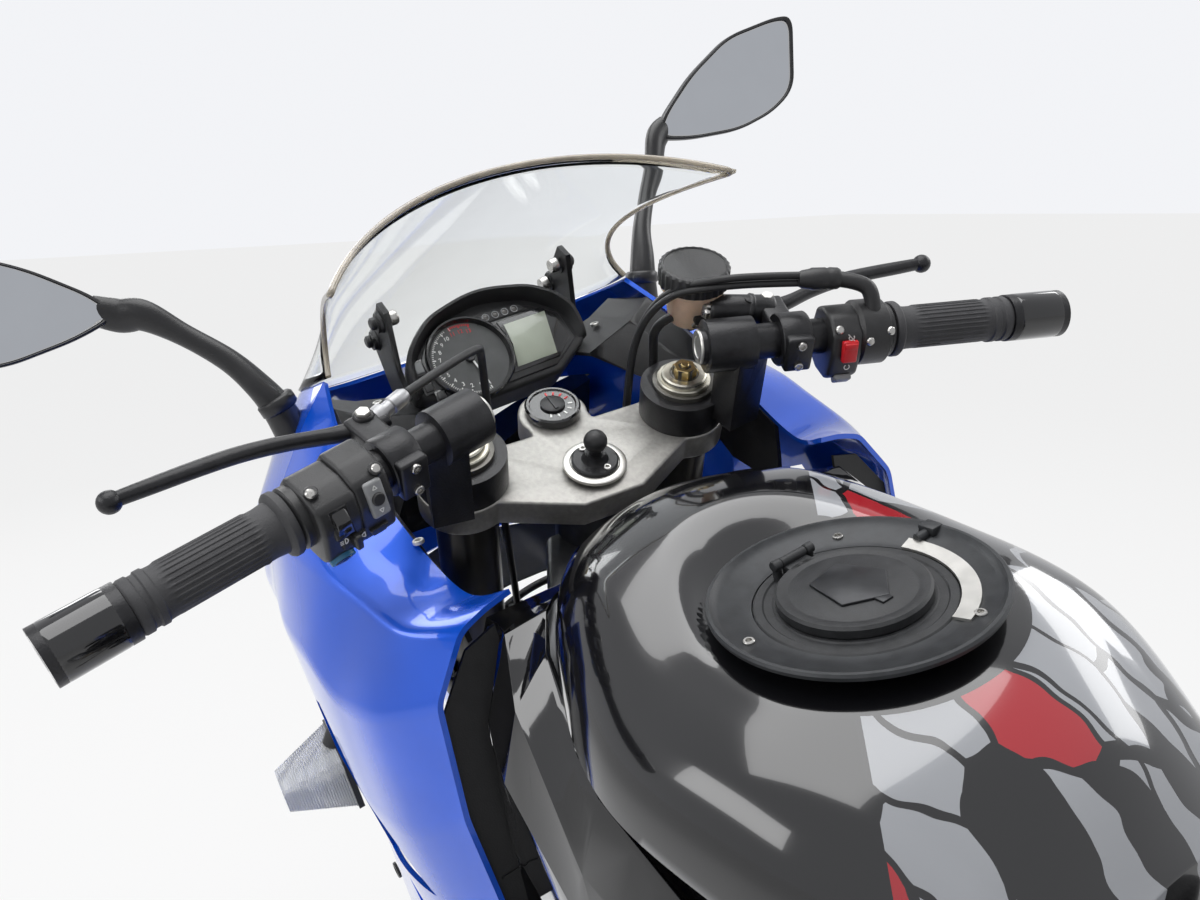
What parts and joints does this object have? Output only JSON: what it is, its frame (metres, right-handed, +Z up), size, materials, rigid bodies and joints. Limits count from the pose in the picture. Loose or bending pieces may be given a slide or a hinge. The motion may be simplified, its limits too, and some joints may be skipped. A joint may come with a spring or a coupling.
{
  "type": "motorcycle",
  "caption": "Faired sport motorcycle with raised clip-on bars, a clear windscreen and a bag ring round its filler, leaning on its side stand with the bars turned slightly right.",
  "frame": {"origin": "middle of the bounding box, on the ground", "axes": "+X forward along the motorcycle, +Y to its left, +Z up; it leans to its left on its stand"},
  "size_m": [2.1097, 0.8744, 1.3041],
  "materials": {
    "tyre_rubber": "matte",
    "rim_black": "gloss",
    "disc_steel": "brushed",
    "axle_steel": "satin",
    "fork_metal": "satin",
    "yoke_silver": "satin",
    "black_metal": "satin",
    "ball_rubber": "matte",
    "grip_rubber": "matte",
    "switch_plastic": "satin",
    "reservoir_plastic": "gloss",
    "caliper_metal": "satin",
    "hose_rubber": "satin",
    "paint_blue": "gloss",
    "paint_black": "gloss",
    "ring_metal": "satin",
    "cap_metal": "satin",
    "frame_metal": "satin",
    "engine_metal": "satin",
    "chain_steel": "satin",
    "exhaust_steel": "brushed",
    "silencer_metal": "brushed",
    "radiator_metal": "matte",
    "shock_metal": "satin",
    "seat_cover": "matte",
    "lamp_glass": "gloss",
    "tail_glass": "gloss",
    "signal_lens": "gloss",
    "plate_plastic": "matte",
    "screen_clear": "gloss",
    "dash_plastic": "satin",
    "mirror_face": "mirror",
    "rest_metal": "satin"
  },
  "bodies": {
    "steering": {"front_axle": "axle_steel", "fork_legs": "fork_metal", "upper_yoke": "yoke_silver", "lower_yoke": "yoke_silver", "ball_mount": "ball_rubber", "ignition_lock": "black_metal", "handlebars": "black_metal", "grips": "grip_rubber", "switchgear": "switch_plastic", "clutch_lever": "black_metal", "brake_lever": "black_metal", "brake_reservoir": "reservoir_plastic", "front_calipers": "caliper_metal", "front_fender": "paint_blue", "brake_hoses": "hose_rubber", "clutch_cable": "hose_rubber"},
    "front_wheel": {"front_tyre": "tyre_rubber", "front_rim": "rim_black", "front_discs": "disc_steel"},
    "rear_wheel": {"rear_tyre": "tyre_rubber", "rear_rim": "rim_black", "rear_disc": "disc_steel", "rear_sprocket": "disc_steel"},
    "side_stand": {"side_stand": "black_metal"},
    "fuel_lid": {"fuel_lid": "cap_metal"},
    "root": {"rear_axle": "axle_steel", "mirrors": "black_metal", "subframe": "black_metal", "rear_caliper": "caliper_metal", "fairing_left": "paint_blue", "fairing_right": "paint_blue", "lower_fairing_left": "paint_blue", "lower_fairing_right": "paint_blue", "nose_cowl": "paint_blue", "tail_cowl": "paint_blue", "fuel_tank": "paint_black", "tank_side_covers": "paint_black", "tank_ring": "ring_metal", "filler_collar": "cap_metal", "frame": "frame_metal", "swingarm": "frame_metal", "engine": "engine_metal", "drive_chain": "chain_steel", "exhaust_headers": "exhaust_steel", "silencers": "silencer_metal", "radiator": "radiator_metal", "shock": "shock_metal", "rider_seat": "seat_cover", "pillion_seat": "seat_cover", "headlamps": "lamp_glass", "tail_lamp": "tail_glass", "signals": "signal_lens", "plate_holder": "plate_plastic", "windscreen": "screen_clear", "dash": "dash_plastic", "inner_cowls": "dash_plastic", "mirror_glass": "mirror_face", "footrests": "rest_metal", "pillion_footrests": "rest_metal"}
  },
  "joints": [
    {"name": "steering", "type": "hinge", "parent": "root", "child": "steering", "pos_m": [0.53861, -0.10531, 0.68656], "axis": [-0.4156, 0.1892, 0.8897], "range_deg": [-20.7, 33.3]},
    {"name": "front_wheel", "type": "hinge", "parent": "steering", "child": "front_wheel", "pos_m": [0.75613, -0.1918, 0.29683], "axis": [0.1, 0.9817, -0.162], "continuous": true},
    {"name": "rear_wheel", "type": "hinge", "parent": "root", "child": "rear_wheel", "pos_m": [-0.68871, -0.18588, 0.30632], "axis": [0.0002, 0.9781, -0.2079], "continuous": true},
    {"name": "side_stand", "type": "hinge", "parent": "root", "child": "side_stand", "pos_m": [-0.0886, -0.0728, 0.20399], "axis": [0.199, 0.8693, 0.4525], "range_deg": [0, 92]},
    {"name": "fuel_lid", "type": "hinge", "parent": "root", "child": "fuel_lid", "pos_m": [0.1997, -0.057, 0.91348], "axis": [0.0002, 0.9781, -0.2079], "range_deg": [0, 100]}
  ]
}
